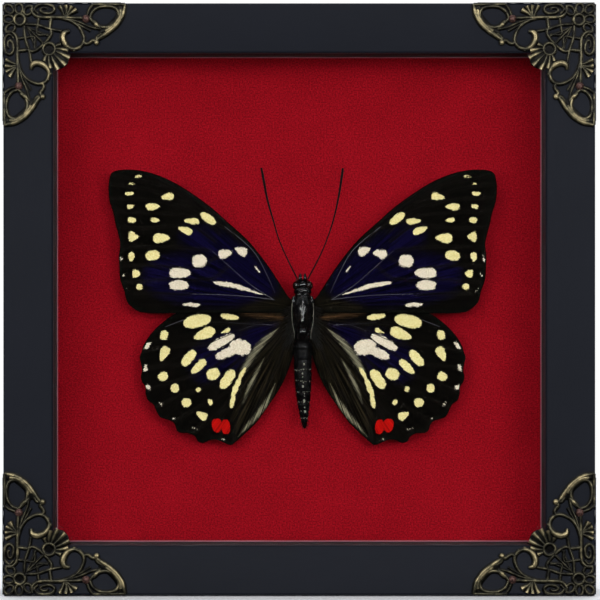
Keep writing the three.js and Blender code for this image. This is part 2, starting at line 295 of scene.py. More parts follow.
# pressed wool felt dyed crimson: no weave, a matt mottle of fibre clumps and a soft sheen;
# the thin paler band along the inner walls is a painted highlight
clumps = addNode(tree, "TexNoise", {"Vector": place, "Scale": 1 / (box["napSize"] * mm), "Detail": 3.0,
                                    "Roughness": 0.65})
drift = addNode(tree, "TexNoise", {"Vector": place, "Scale": 1 / (9 * mm)})
mottle = addNode(tree, "Math", {0: drift, 1: 0.12, 2: clumps}, operation="MULTIPLY_ADD")
depthOfDye = addNode(tree, "MapRange", {"Value": mottle, "From Min": 0.4, "From Max": 0.73})
dyed = addNode(tree, "ValToRGB", {0: depthOfDye},
               [(0.0, box["feltDark"]), (0.5, box["feltMid"]), (1.0, box["feltLight"])])
axes = addNode(tree, "SeparateXYZ", {0: place})
level = addNode(tree, "Math", {0: axes.outputs["Z"], 1: box["middleUp"] * mm}, operation="SUBTRACT")
sideways = addNode(tree, "Math", {0: axes.outputs["X"]}, operation="ABSOLUTE")
upwards = addNode(tree, "Math", {0: level}, operation="ABSOLUTE")
reach = addNode(tree, "Math", {0: sideways, 1: upwards}, operation="MAXIMUM")
# painted highlight: the felt turns paler within so many mm of the inner walls
highlightFrom, highlightFull = [(box["wallAt"] - share * box["highlightBand"]) * mm for share in (1, 0.6)]
edgeHighlight = addNode(tree, "MapRange", {"Value": reach, "From Min": highlightFrom, "From Max": highlightFull})
colour = addNode(tree, "Mix", {factorIn: edgeHighlight, firstIn: dyed,
                               secondIn: box["highlightColour"]}, data_type="RGBA")
nap = addNode(tree, "Bump", {"Height": clumps, "Strength": 0.55, "Distance": 0.12 * mm})
feed(shader, {"Base Color": colour.outputs[colourOut], "Roughness": 0.92, "Normal": nap,
              "Sheen Weight": 0.03, "Sheen Roughness": 0.5, "Sheen Tint": "#C02030",
              "Specular IOR Level": 0.05})
low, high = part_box("felt_sheet")
shape = bmesh.new()
bmesh.ops.create_grid(shape, x_segments=box["feltCells"], y_segments=box["feltCells"],
                      size=(high.x - low.x) / 2)
bmesh.ops.rotate(shape, verts=shape.verts, matrix=Matrix.Rotation(math.radians(90), 3, "X"))
reshape(shape, move=(0, high.y, (low.z + high.z) / 2))
bmesh.ops.solidify(shape, geom=shape.faces[:], thickness=low.y - high.y)
bmesh.ops.recalc_face_normals(shape, faces=shape.faces)
for corner in shape.verts:
    if corner.co.y < high.y - 0.2 * mm:
        swell = noise.noise(corner.co / (6 * mm)) + 0.5 * noise.noise(corner.co / (1.2 * mm))
        corner.co.y = low.y + box["feltSwell"] * mm * (1 - 0.6 * swell)
    else:
        corner.co.y = high.y
felt = keepPiece("felt_ground", shape, [redFelt], "felt_sheet", 60)
print("felt laid")

# foam board with a smooth uncoated paper face: off-white, faint fibre clouds
paperBoard = mottledMaterial("paper_faced_foam_board", 1.5, 4.0, [(0.3, "#E4E1DA"), (0.7, "#EEECE6")],
                             {"Roughness": 0.75})
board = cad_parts["mount_board"]
board.data.materials.clear()
board.data.materials.append(paperBoard)

hardboard, tree, shader, place = newMaterial("bare_hardboard")
# wet-pressed hardboard: mid brown with short dark and pale fibres, one face screened, slightly waxy
fibres = addNode(tree, "TexNoise", {"Vector": place, "Scale": 1 / (0.8 * mm), "Detail": 5.0,
                                    "Roughness": 0.7, "Distortion": 1.5})
blotch = addNode(tree, "TexNoise", {"Vector": place, "Scale": 1 / (14 * mm), "Detail": 3.0})
tone = addNode(tree, "ValToRGB", {0: fibres},
               [(0.28, "#4A3220"), (0.45, "#6E4E33"), (0.6, "#7F5D3E"), (0.78, "#A58560")])
shade = addNode(tree, "MapRange", {"Value": blotch, "From Min": 0.3, "From Max": 0.7,
                                   "To Min": 0.82, "To Max": 1.06})
colour = addNode(tree, "VectorMath", {0: tone, "Scale": shade}, operation="SCALE")
rough = addNode(tree, "Bump", {"Height": fibres, "Strength": 0.5, "Distance": 0.12 * mm})
feed(shader, {"Base Color": colour, "Roughness": 0.7, "Normal": rough})
easeEdges("backing_board", "_sawn", hardboard, 0.25)

# cut pinning foam: dark brown, fine cells
darkFoam = cellMaterial("dark_pinning_foam", 0.3, [(0.1, "#120E0D"), (0.8, "#251D1A")],
                        {"Roughness": 0.85})
easeEdges("specimen_pad", "_cut", darkFoam, 0.25)
print("boards done")


hardware = {
    "nailAcross": 16.0, "nailUp": 145.94,       # mm
    "nailSides": 24,
    "nailOutline": [(0, 15.0), (0.7, 14.95), (1.2, 14.8), (1.48, 14.6), (1.5, 14.5), (0.5, 14.5),
                    (0.5, 8.6), (0, 7.5)],      # (radius, depth) in mm
}
zincPlate, tree, shader, place = newMaterial("bright_zinc_plated_steel")
# pressed steel with bright zinc: a cool grey metal, faint spangle and rolling lines
spangle = addNode(tree, "TexVoronoi", {"Vector": place, "Scale": 1 / (1.1 * mm)})
rolled = addNode(tree, "Mapping", {"Vector": place, "Scale": (1, 1, 0.05)})
lines = addNode(tree, "TexNoise", {"Vector": rolled, "Scale": 1 / (0.15 * mm)})
tone = addNode(tree, "Mix", {factorIn: spangle.outputs["Color"], firstIn: "#A9ACB0", secondIn: "#C6C8CB"},
               data_type="RGBA")
gloss = addNode(tree, "MapRange", {"Value": lines, "To Min": 0.24, "To Max": 0.42})
feed(shader, {"Base Color": tone.outputs[colourOut], "Metallic": 1.0, "Roughness": gloss})

brassPlate, tree, shader, place = newMaterial("brass_plated_steel")
# stamped steel with a thin brass plate: warm yellow, dulled by handling, darker in the stamped bends
tarnish = addNode(tree, "TexNoise", {"Vector": place, "Scale": 1 / (2.5 * mm), "Detail": 5.0})
tone = addNode(tree, "ValToRGB", {0: tarnish}, [(0.3, "#8E6F38"), (0.55, "#B8934C"), (0.75, "#C9A864")])
gloss = addNode(tree, "MapRange", {"Value": tarnish, "To Min": 0.42, "To Max": 0.25})
feed(shader, {"Base Color": tone, "Metallic": 1.0, "Roughness": gloss})

for side in ("top", "bottom", "left", "right"):
    easeEdges("point_" + side, "_zinc", zincPlate, 0.06)
easeEdges("hanger", "_brassed", brassPlate, 0.08)
for side, across in (("left", -1), ("right", 1)):
    node = "hanger_nail_" + side
    shape = bmesh.new()
    places = [shape.verts.new((radius * mm, depth * mm, 0)) for radius, depth in hardware["nailOutline"]]
    edges = [shape.edges.new(pair) for pair in zip(places, places[1:])]
    bmesh.ops.spin(shape, geom=places + edges, axis=(0, 1, 0), cent=(0, 0, 0), angle=math.tau,
                   steps=hardware["nailSides"], use_merge=True)
    bmesh.ops.remove_doubles(shape, verts=shape.verts, dist=0.005 * mm)
    bmesh.ops.recalc_face_normals(shape, faces=shape.faces)
    reshape(shape, move=(across * hardware["nailAcross"] * mm, 0, hardware["nailUp"] * mm))
    keepPiece(node + "_domed", shape, [zincPlate], node, 35)
print("hardware done")


def smoothPath(points, steps):
    # a curve through the points, with so many steps to each stretch
    known = [Vector(point) for point in points]
    known = [2 * known[0] - known[1]] + known + [2 * known[-1] - known[-2]]
    path = []
    for before, start, end, after in zip(known, known[1:], known[2:], known[3:]):
        for step in range(steps):
            t = step / steps
            bend = 2 * before - 5 * start + 4 * end - after
            twist = 3 * start - before - 3 * end + after
            path.append((2 * start + (end - before) * t + bend * t * t + twist * t ** 3) / 2)
    return path + [known[-2]]


def evenPath(path, count):
    # the same curve as count + 1 evenly spaced points
    travelled = [0.0]
    for start, end in zip(path, path[1:]):
        travelled.append(travelled[-1] + (end - start).length)
    even = []
    stretch = 0
    for index in range(count + 1):
        goal = travelled[-1] * index / count
        while stretch < len(path) - 2 and travelled[stretch + 1] < goal:
            stretch += 1
        share = (goal - travelled[stretch]) / max(travelled[stretch + 1] - travelled[stretch], 1e-9)
        even.append(path[stretch].lerp(path[stretch + 1], min(share, 1.0)))
    return even


# wing points are mm outwards from the insect's midline and mm up from the frame's middle
wings = {
    "midline": 0.875, "middleUp": 75.25,    # mm
    "aroundCells": 330,         # along the margin
    "outwardCells": 90,         # from the root to the margin
    "membrane": 0.12,           # mm
    "camber": 0.2,              # mm, how far the middle bows forwards
    "veinRise": 0.03,           # mm
    "veinWidth": 0.22,          # mm
    "ripple": 0.05, "rippleLength": 5,          # mm
    "rayCount": 430,            # rows of hair and scales fanning out from the root
    "rowCount": 16,             # rows of scales across them
    "markReach": 3.0,           # mm, how far from its edge a spot is measured
    "squareness": 2.3,          # 2 makes the spots true ovals
    "ground": "#040302", "groundLight": "#0B0907",
    "blue": "#02010A", "blueLight": "#0B0728",
    "margin": "#10120E", "rim": "#040403", "veinShade": "#1A1713", "vein": "#030204",
    "creamDeep": "#D3C078", "cream": "#E7DBA2",
    "whiteDeep": "#C8B79D", "white": "#E5D9C4",
    "redDeep": "#780806", "red": "#C8100C",
    "olive": "#040302", "oliveLight": "#30291C", "fur": "#17130C", "furLight": "#8E8870",
    "brownDeep": "#140D07", "brown": "#6E5034",
    "paleVein": "#6A6870",
    "areas": ["cream", "white", "red", "blue", "hairy", "brown"],       # marks laid out as spots
    "lines": ["fur", "darkVein", "paleVein", "edge"],                   # marks laid out along lines
}
# spots are (out, up, half length, half width, tilt in degrees), and some also have how far they narrow
# towards the outer end
forewing = {
    "depth": -1.62,
    "outline": [(1.8, -1.2), (4.2, 1.4), (8.5, 8.1), (13.7, 14.7), (18.9, 19.5), (24.4, 24.3), (31.3, 29),
        (36.6, 31.6), (41.6, 33), (46.2, 33.2), (48.7, 32.6), (49.5, 31.1), (49.8, 28.8), (49.7, 26.6),
        (49.4, 24.7), (48.5, 21.9), (48, 19.3), (47.4, 17.1), (46.8, 14.3), (47.1, 11), (47, 8.5),
        (46.8, 5.2), (45.8, 2.3), (44.9, -0.8), (42.5, -2.9), (39.9, -3.5), (31.3, -3.6), (12.3, -3.5),
        (6.1, -3.2), (2.2, -2.8)],
    "cream": [(42.2, 31.5, 1.1, 0.5, -5, 0.3), (43.9, 29.6, 1, 0.4, -3),
        (44.4, 27.1, 1.3, 0.65, -5, -0.3), (44.1, 23.8, 1.1, 0.7, -10, -0.3),
        (43.7, 20.3, 1.15, 0.9, -5, -0.1), (43.3, 16, 1.5, 1.2, 0, -0.8),
        (43.9, 10.9, 1.35, 0.95, -80, 0.2), (42.8, 6.4, 1.2, 1.1, -60, 0.5), (41.8, 3.2, 1, 0.95, 0),
        (34.7, 26.3, 1.9, 1, -10, 0.5), (38.4, 23.7, 1.95, 1, -3, -0.4), (37.8, 20.3, 1.3, 0.7, 5, -0.2),
        (36.2, 15.7, 2.3, 1.3, -3, -0.35), (38.4, 11.2, 2.05, 1.4, -8), (24.2, 20.7, 2.45, 1.15, 36),
        (28.4, 20, 2.1, 0.9, 3, 0.3), (30.1, 17.7, 2.1, 1, 20, 0.3)],
    "white": [(26.5, 9.8, 1.95, 1.85, 0), (31.5, 6.75, 2.9, 1.45, 0, -0.15), (31.7, 3.6, 2.65, 1.4, 0),
        (19.8, 11.7, 1.95, 1.2, -15, -0.4), (15.8, 12.4, 1.8, 1.15, 20, 0.5), (11.6, 7.6, 1.1, 0.3, 55),
        (19.2, 3.75, 3.9, 0.72, 9, 0.1), (14.2, 2.4, 4.4, 0.5, 17, -0.5), (28.5, -1.4, 2.4, 0.6, 3),
        (46.4, 10.5, 1, 0.35, -80), (45.8, 6.3, 0.7, 0.35, -75), (44.7, 2.4, 0.8, 0.2, 50)],
    "red": [],
    "blue": [(15.5, 8.4, 11, 4.4, 40), (24, 5.2, 17, 7, 3), (24, 14.5, 8, 4, 20)],
    "hairy": [(8.5, -1.4, 7.5, 1.7, -8)],
    "brown": [],
    "fur": [],
    "darkVeins": [[(16.6, 15.7), (24.3, 23.4), (34.6, 30.3)], [(19.7, 18.8), (31, 27.3), (41.2, 32.6)],
        [(20.2, 19.3), (34, 28.3), (48.7, 31.9)], [(28.9, 24.2), (39.2, 28), (49.7, 29.6)], [(20.4, 18.5),
        (31.5, 23.9), (41.7, 25.7), (49.9, 26)], [(21.5, 17), (26.3, 20.6), (36.6, 22.1), (49.4, 22.6)],
        [(22.5, 14.9), (28.9, 18.7), (39.2, 18.3), (48.4, 18.5)], [(23.8, 12.6), (32.8, 13.4),
        (47.6, 13.4)], [(22.2, 10.8), (27.6, 8), (39.2, 8.8), (47.1, 8.5)], [(19.2, 8.3), (23.8, 5.2),
        (34, 5.15), (46.9, 4.2)], [(28.9, 1.2), (43, 1.6)]],
    "paleVeins": [[(7, 1.4), (8.9, 5.7), (11.9, 11.3), (15.3, 14.9), (20.1, 18.7)], [(7.3, -0.2),
        (13.3, 3.7), (19.3, 8.9), (23.2, 12.4)], [(7.2, -0.1), (14, 0.7), (21.5, 1.2), (28.5, 1.35)]],
}
hindwing = {
    "depth": -0.82,
    "outline": [(1.8, -2.4), (12.2, -2.8), (24, -2.4), (31.6, -3.3), (35.8, -5.8), (39.1, -9.1),
        (40.9, -12), (41.2, -13.2), (41.8, -14.8), (41.5, -16.4), (41.2, -18.2), (41.5, -19.8),
        (41.2, -21.2), (40.3, -22.6), (40.3, -24.2), (39.7, -25.9), (38.3, -27), (37.5, -28.7),
        (36.6, -30.2), (35, -30.8), (33.5, -31.3), (32.7, -32.3), (32.3, -33.6), (31.2, -34.3),
        (29.2, -34.4), (27.6, -35.2), (26.9, -36.4), (25.5, -36.9), (23.8, -36.1), (22.3, -36),
        (20.9, -36.5), (18.5, -37.4), (17.2, -36.6), (15.6, -35.2), (11.9, -31.6), (8.5, -26.9),
        (5.6, -22.4), (3.7, -18.2), (2.5, -14.6), (1.9, -11), (1.8, -7)],
    "cream": [(27.1, -5.6, 3.7, 1.8, -12), (18.8, -4.5, 2.5, 0.9, 8), (25.2, -8.9, 3, 1.45, -22, 0.3),
        (19.8, -8.2, 1.4, 0.6, -22, 0.6), (29.2, -15.1, 2.65, 1.35, -50),
        (26.7, -17.3, 2.65, 1.15, -42, 0.2), (23, -19.2, 1.9, 1.6, -20), (19.3, -20.5, 3, 1.45, -55),
        (18, -26.2, 1.9, 0.75, -78), (17.1, -22.6, 2.6, 0.85, -68), (15.5, -19, 1.9, 0.65, -60),
        (35.5, -9.2, 1.4, 1.2, -80), (35.6, -14, 2.15, 1.25, -66, 0.4), (35.8, -19.8, 1.45, 1.3, -30),
        (32.8, -22.8, 1.3, 1.2, -90), (29.8, -26.5, 1.4, 1.3, 0), (25.9, -29.8, 1.7, 1.05, 30, 0.5),
        (26.8, -23.1, 0.85, 0.8, 0), (23.7, -26.4, 0.95, 0.75, 60)],
    "white": [(20.9, -11, 3.9, 1.3, -28), (16, -12.3, 2.9, 2.1, 12), (19.5, -13.8, 3.1, 1.3, -24),
        (39.7, -11.9, 1.3, 0.6, -50), (40.3, -17.6, 1.1, 0.65, -75), (39.6, -22.6, 0.9, 0.65, 45),
        (36.3, -26.9, 0.7, 0.45, 45), (32.9, -30.6, 0.6, 0.35, 0), (27.4, -33.2, 1.1, 0.25, 20),
        (20.4, -36, 0.7, 0.3, 20)],
    "red": [(22, -32.4, 1.85, 1.32, -95, 0.15), (19.75, -32.7, 1.95, 1.2, -97)],
    "blue": [(10.5, -8.8, 5.5, 3.6, -30), (21, -14.5, 9, 5.5, -30)],
    "hairy": [(9.2, -20.5, 16.5, 6.2, -67), (6.5, -4.8, 6, 2, -5)],
    "brown": [(10.2, -4.2, 6.4, 0.85, 7)],
    "fur": [([(17.4, -23.5), (15.2, -18.4), (12.7, -14.3), (10.2, -11), (6, -7.2)], 1), ([(15.8, -27.8),
        (13.7, -22.8), (12, -19), (9.8, -15)], 0.6), ([(16.6, -35.3), (14.3, -32.6), (12, -30),
        (9.2, -26.3), (7, -21.5)], 0.75)],
    "darkVeins": [[(10.4, -6.4), (19.9, -6.1), (30.2, -7)], [(12, -6.6), (17.1, -8.4), (24.5, -11.5)],
        [(24.5, -11.5), (32, -12), (41.2, -13)], [(16.1, -9.3), (18.1, -10.6), (23.3, -13.8),
        (27.9, -16.2), (35.8, -17.1), (41.4, -17.9)], [(20.7, -15.8), (24.9, -18.4), (34.6, -21.5),
        (40.2, -23.5)], [(16.1, -14.8), (21.5, -20.5), (31.2, -24.7), (37.6, -27.9)], [(15.8, -15.6),
        (18.4, -22.8), (27.6, -28.2), (33.4, -31.5)], [(15.3, -16.1), (16.6, -18.7), (19.2, -26.4),
        (23.8, -31), (28.4, -34.7)], [(5.3, -7.9), (10.4, -13), (13.5, -17.6), (16.1, -23.8),
        (20.8, -30.6), (20.9, -36.1)], [(4.5, -9.2), (8.9, -15.1), (13, -22), (16.6, -29.7),
        (17.6, -36.1)], [(4, -10.5), (6.3, -16.9), (10.4, -24.6), (13.5, -31)]],
    "paleVeins": [[(12, -6.6), (14, -7.2), (16.6, -8.2)], [(30.4, -5.2), (35.3, -7.1)], [(8, -6.6),
        (19, -6)]],
}


def spotDepth(point, spots):
    # mm inside the nearest spot's edge, negative outside; a spot is a slightly squared oval
    reach, power = wings["markReach"], wings["squareness"]
    deepest = -reach
    for out, up, length, width, tilt, *narrowing in spots:
        away = point - Vector((out, up))
        if away.length > length + reach:
            continue
        away.rotate(Matrix.Rotation(math.radians(-tilt), 2))
        wide = width * max(0.15, 1 - sum(narrowing) * max(-1.0, min(1.0, away.x / length)))
        along, aside = max(abs(away.x), 1e-4) / length, abs(away.y) / wide
        ring = (along ** power + aside ** power) ** (1 / power)
        slope = math.hypot(along ** (power - 1) / length, aside ** (power - 1) / wide)
        deepest = max(deepest, (1 - ring) / (slope / ring ** (power - 1)))
    return min(deepest, reach)


def pathTree(paths):
    # a search tree of points every 0.1 mm or so along smooth paths, and the half width at each, tapering
    spaced = []
    for points, half in paths:
        path = smoothPath(points, 12)
        length = sum((end - start).length for start, end in zip(path, path[1:]))
        steps = int(length / 0.1) + 1
        spaced += [(point, half * max(0.1, math.sin(math.pi * step / steps)))
                   for step, point in enumerate(evenPath(path, steps))]
    tree = kdtree.KDTree(max(len(spaced), 1))
    for index, (point, half) in enumerate(spaced):
        tree.insert((point.x, point.y, 0), index)
    if not spaced:
        tree.insert((-99, -99, 0), 0)
    tree.balance()
    return tree, [half for point, half in spaced] or [1]


def wingShape(wing):
    # a fan of cells from the root to the margin, with its markings kept as attributes for the scales
    margin = evenPath(smoothPath(wing["outline"], 12), wings["aroundCells"])
    root = (margin[0] + margin[-1]) / 2
    shape = bmesh.new()
    bmesh.ops.create_grid(shape, x_segments=wings["aroundCells"], y_segments=wings["outwardCells"],
                          size=0.5)
    rays = shape.loops.layers.uv.new("rays")
    for face in shape.faces:
        for loop in face.loops:
            loop[rays].uv = loop.vert.co.xy + Vector((0.5, 0.5))
    marks = {name: shape.verts.layers.float.new(name) for name in wings["areas"] + wings["lines"]}
    darkTree, _ = pathTree([(vein, 1) for vein in wing["darkVeins"]])
    paleTree, _ = pathTree([(vein, 1) for vein in wing["paleVeins"]])
    edgeTree, _ = pathTree([(wing["outline"], 1)])
    furTree, furHalf = pathTree(wing["fur"])
    for vert in shape.verts:
        index = round((vert.co.x + 0.5) * wings["aroundCells"])
        outwards = vert.co.y + 0.5
        spot = root.lerp(margin[index], outwards)
        here = (spot.x, spot.y, 0)
        for name in wings["areas"]:
            vert[marks[name]] = spotDepth(spot, wing[name])
        dark = darkTree.find(here)[2]
        pale = paleTree.find(here)[2]
        vert[marks["darkVein"]] = min(dark, wings["markReach"])
        vert[marks["paleVein"]] = min(pale, wings["markReach"])
        vert[marks["edge"]] = min(edgeTree.find(here)[2], 2 * wings["markReach"])
        _, nearest, distance = furTree.find(here)
        vert[marks["fur"]] = max(1 - distance / furHalf[nearest], -1.0)
        ridge = wings["veinRise"] * math.exp(-(min(dark, pale) / wings["veinWidth"]) ** 2)
        around = vert.co.x + 0.5
        bow = wings["camber"] * math.sin(math.pi * min(outwards, 1.0)) * math.sin(math.pi * around)
        wave = Vector((spot.x / wings["rippleLength"], spot.y / wings["rippleLength"], 0))
        ripple = wings["ripple"] * noise.noise(wave)
        vert.co = (spot.x, wing["depth"] - ridge - bow - ripple, spot.y)
    bmesh.ops.remove_doubles(shape, verts=shape.verts, dist=0.004)
    back = bmesh.ops.extrude_face_region(shape, geom=shape.faces[:], use_keep_orig=True)["geom"]
    bmesh.ops.translate(shape, verts=[part for part in back if isinstance(part, bmesh.types.BMVert)],
                        vec=(0, wings["membrane"], 0))
    bmesh.ops.recalc_face_normals(shape, faces=shape.faces)
    return shape


wingScales, tree, shader, place = newMaterial("wing_scales")
# overlapping chitin scales laid in rows that fan out from the root: matt brown-black, a blue-violet
# structural sheen over the middle, and powdery cream and white spots with feathered edges
attributes = {name: addNode(tree, "Attribute", attribute_name=name).outputs["Fac"]
              for name in wings["areas"] + wings["lines"]}
fromRoot = addNode(tree, "UVMap", uv_map="rays")
fan = addNode(tree, "Mapping", {"Vector": fromRoot, "Scale": (wings["rayCount"], wings["rowCount"], 1)})
rows = addNode(tree, "TexNoise", {"Vector": fan, "Scale": 1.0})
wideFan = addNode(tree, "Mapping", {"Vector": fromRoot, "Scale": (wings["rayCount"] / 3, 3, 1)})
bands = addNode(tree, "TexNoise", {"Vector": wideFan, "Scale": 1.0, "Detail": 3.0})
powder = addNode(tree, "TexNoise", {"Vector": place, "Scale": 1 / (0.3 * mm)})
lumps = addNode(tree, "TexNoise", {"Vector": place, "Scale": 1 / (0.9 * mm)})
coarse = addNode(tree, "Math", {0: rows, 1: lumps}, operation="ADD")
mixture = addNode(tree, "Math", {0: powder, 1: 1.0, 2: coarse}, operation="MULTIPLY_ADD")
fray = addNode(tree, "Math", {0: mixture, 1: 1.5}, operation="SUBTRACT")
patterns = {}                           # where a layer's light scales are
for name, texture, low, high in (("streaks", bands, 0.35, 0.75), ("grains", powder, 0.3, 0.65),
                                 ("wisps", bands, 0.48, 0.7), ("drift", bands, 0.4, 0.6)):
    patterns[name] = addNode(tree, "MapRange", {"Value": texture, "From Min": low, "From Max": high})
# each layer lies over those before it: the mark that it follows, how far its edge frays in mm, the mark's
# value where it starts and where it is full, its strength, its two colours and the pattern they make
layers = [
    ("edge", 0.5, 1.5, 0.2, 0.8, "ground", "margin", "grains"),
    ("blue", 1.0, -1.5, 2.5, 1.0, "blue", "blueLight", "drift"),
    ("hairy", 1.0, -1.0, 2.0, 0.9, "olive", "oliveLight", "wisps"),
    ("fur", 0.9, -0.4, 0.9, 0.9, "fur", "furLight", "drift"),
    ("brown", 0.8, -0.3, 0.7, 0.9, "brownDeep", "brown", "wisps"),
    ("darkVein", 0.0, 0.8, 0.25, 0.3, "veinShade", "veinShade", "drift"),
    ("paleVein", 0.0, 0.14, 0.03, 0.45, "paleVein", "paleVein", "drift"),
    ("white", 0.8, 0.04, 0.32, 1.0, "whiteDeep", "white", "grains"),
    ("darkVein", 0.0, 0.2, 0.05, 0.85, "vein", "vein", "drift"),
    ("cream", 0.55, 0.06, 0.31, 1.0, "creamDeep", "cream", "grains"),
    ("red", 0.3, -0.05, 0.2, 1.0, "redDeep", "red", "streaks"),
    ("edge", 0.0, 0.28, 0.1, 0.95, "rim", "rim", "drift"),
]
colour = addNode(tree, "Mix", {factorIn: patterns["streaks"], firstIn: wings["ground"],
                               secondIn: wings["groundLight"]}, data_type="RGBA").outputs[colourOut]
for mark, fraying, start, full, strength, deep, light, pattern in layers:
    frayed = addNode(tree, "Math", {0: fray, 1: fraying, 2: attributes[mark]}, operation="MULTIPLY_ADD")
    reach = addNode(tree, "MapRange", {"Value": frayed, "From Min": start, "From Max": full,
                                       "To Max": strength}, interpolation_type="SMOOTHSTEP")
    paint = addNode(tree, "Mix", {factorIn: patterns[pattern], firstIn: wings[deep],
                                  secondIn: wings[light]}, data_type="RGBA")
    laid = {factorIn: reach, firstIn: colour, secondIn: paint.outputs[colourOut]}
    colour = addNode(tree, "Mix", laid, data_type="RGBA").outputs[colourOut]
relief = addNode(tree, "Bump", {"Height": mixture, "Strength": 0.5, "Distance": 0.04 * mm})
feed(shader, {"Base Color": colour, "Roughness": 0.6, "Specular IOR Level": 0.01, "Normal": relief})

for kind, wing in (("forewing", forewing), ("hindwing", hindwing)):
    cutWing = wingShape(wing)
    for side, outward in (("left", -1), ("right", 1)):
        shape = cutWing.copy()
        reshape(shape, (outward * mm, mm, mm), (wings["midline"] * mm, 0, wings["middleUp"] * mm))
        if outward < 0:
            bmesh.ops.reverse_faces(shape, faces=shape.faces)
        node = kind + "_" + side
        keepPiece(node + "_scaled", shape, [wingScales], node, 60)
    cutWing.free()
    print(kind, "pair done")


def roundWires(wires, sides=3, steps=6):
    # round wires from (points, radii) in mm, each closed at its ends, gathered in one bmesh
    curve = bpy.data.curves.new("wires", "CURVE")
    curve.dimensions = "3D"
    curve.bevel_depth = 1.0
    curve.bevel_resolution = sides
    curve.use_fill_caps = True
    for points, radii in wires:
        path = smoothPath(points, steps)
        spline = curve.splines.new("POLY")
        spline.points.add(len(path) - 1)
        for index, (spot, point) in enumerate(zip(path, spline.points)):
            along = index / (len(path) - 1) * (len(radii) - 1)
            first = min(int(along), len(radii) - 2)
            point.co = (*spot, 1)
            point.radius = radii[first] + (radii[first + 1] - radii[first]) * (along - first)
    holder = bpy.data.objects.new("wires", curve)
    scene.collection.objects.link(holder)
    mesh = bpy.data.meshes.new_from_object(holder.evaluated_get(bpy.context.evaluated_depsgraph_get()))
    bpy.data.objects.remove(holder)
    shape = bmesh.new()
    shape.from_mesh(mesh)
    bpy.data.meshes.remove(mesh)
    return shape


def addBall(shape, centre, half, detail=16):
    # a ball pressed to the half sizes given, in mm
    ball = bmesh.ops.create_uvsphere(shape, u_segments=detail, v_segments=detail * 2 // 3,
                                     radius=1.0)["verts"]
    bmesh.ops.scale(shape, verts=ball, vec=half)
    bmesh.ops.translate(shape, verts=ball, vec=centre)
    return ball


def addTurned(shape, outline, sides=48):
    # turns an outline of (up, radius) in mm about the upright axis
    path = smoothPath(outline, 8)
    places = [shape.verts.new((max(radius, 0), 0, up)) for up, radius in path]
    edges = [shape.edges.new(pair) for pair in zip(places, places[1:])]
    before = set(shape.verts)
    bmesh.ops.spin(shape, geom=places + edges, axis=(0, 0, 1), cent=(0, 0, 0), angle=math.tau,
                   steps=sides, use_merge=True)
    turned = places + [vert for vert in shape.verts if vert not in before]
    bmesh.ops.remove_doubles(shape, verts=turned, dist=0.01)
    bmesh.ops.recalc_face_normals(shape, faces=shape.faces)


def join(shape, other, materialIndex=0):
    # adds another bmesh's faces to a shape, with their material, and frees it
    mesh = bpy.data.meshes.new("joined")
    for face in other.faces:
        face.material_index = materialIndex
    other.to_mesh(mesh)
    other.free()
    shape.from_mesh(mesh)
    bpy.data.meshes.remove(mesh)


def toFrame(shape, depth):
    # from mm about the insect's own middle to metres in the frame
    reshape(shape, (mm, mm, mm), (wings["midline"] * mm, depth * mm, wings["middleUp"] * mm))
    return shape


# in the body's outlines, up is mm above the frame's middle
body = {
    "depth": -1.5,
    "thorax": [(-9.8, 0), (-9.5, 1.1), (-8.4, 2), (-6.4, 2.7), (-4, 3), (-1.6, 2.85), (0.4, 2.15),
        (1.6, 1.4), (1.9, 0)],
    "abdomen": [(-33.3, 0), (-32.6, 0.45), (-31, 0.9), (-28.6, 1.35), (-26, 1.7), (-23.5, 1.98),
        (-21, 2.18), (-18, 2.27), (-14, 2.38), (-12.2, 2.47), (-11.3, 2.2), (-10.4, 1.3), (-10.1, 0)],
    "segmentEdges": [-13.0, -15.6, -18.4, -21.2, -24.0, -26.6, -28.8, -30.6],
    "paleFlankLine": [(2.1, 0.9), (2.6, -0.6), (2.8, -2.6), (2.7, -5.7), (2.2, -8.4), (2.1, -10.2)],
    "crest": 3.3, "crestSlope": 0.15, "crestWidth": 0.6,     # mm: the thorax rises to a straight ridge
    "crestAt": -5.5,            # down its back, as high as "crest" at this place
    "crestEnds": [(-8.4, 2.4), (1.4, 1.6)],     # where it ends, and how far from there it fades
    "flatness": 0.9,            # the body is a little shallower than it is wide
    "tipBend": 0.5,             # mm to the right
    "glintTufts": 11, "tuftTop": -16.6, "tuftPitch": 1.2,        # a row of pale tufts down the back, partly painted highlight for the glints along it
    "thoraxHairs": 420, "abdomenHairs": 240, "headHairs": 160, "tresses": 420, "ringScales": 13,
    "antennae": {"left": [(-1.35, 5.2), (-4, 10.5), (-6.1, 15.4), (-7.4, 19.8), (-9, 25.4), (-10, 30.6),
                          (-10.6, 33.7)],
                 "right": [(1.35, 5.2), (4.8, 11.9), (7, 17.5), (8.4, 22.4), (9.4, 27.3), (10.1, 31.9),
                           (10.3, 33.6)]},
    "antennaRadii": [0.2, 0.18, 0.17, 0.18, 0.2, 0.24, 0.28, 0.32, 0.34, 0.27],
    "shell": "#030305", "shellBrown": "#0A0808", "skin": "#0D0B0B", "eye": "#1D1210", "tuftGlint": "#8F8C7E",
}
chance = random.Random(11)

shellBlack, tree, shader, place = newMaterial("black_chitin_shell")
# smooth sclerotised chitin: glossy black with a faint brown cast and fine pitting
pitting = addNode(tree, "TexNoise", {"Vector": place, "Scale": 1 / (0.18 * mm)})
colour = addNode(tree, "Mix", {factorIn: pitting, firstIn: body["shell"], secondIn: body["shellBrown"]},
                 data_type="RGBA").outputs[colourOut]
dents = addNode(tree, "Bump", {"Height": pitting, "Strength": 0.03, "Distance": 0.03 * mm})
feed(shader, {"Base Color": colour, "Roughness": 0.13, "IOR": 1.5, "Normal": dents})

# soft skin under close dark scales: black and nearly matt, in a slightly uneven tone
scaledSkin = mottledMaterial("dark_scaled_skin", 0.4, 2.0, [(0.35, body["shell"]), (0.7, body["skin"])],
                             {"Roughness": 0.24, "Specular IOR Level": 0.15})
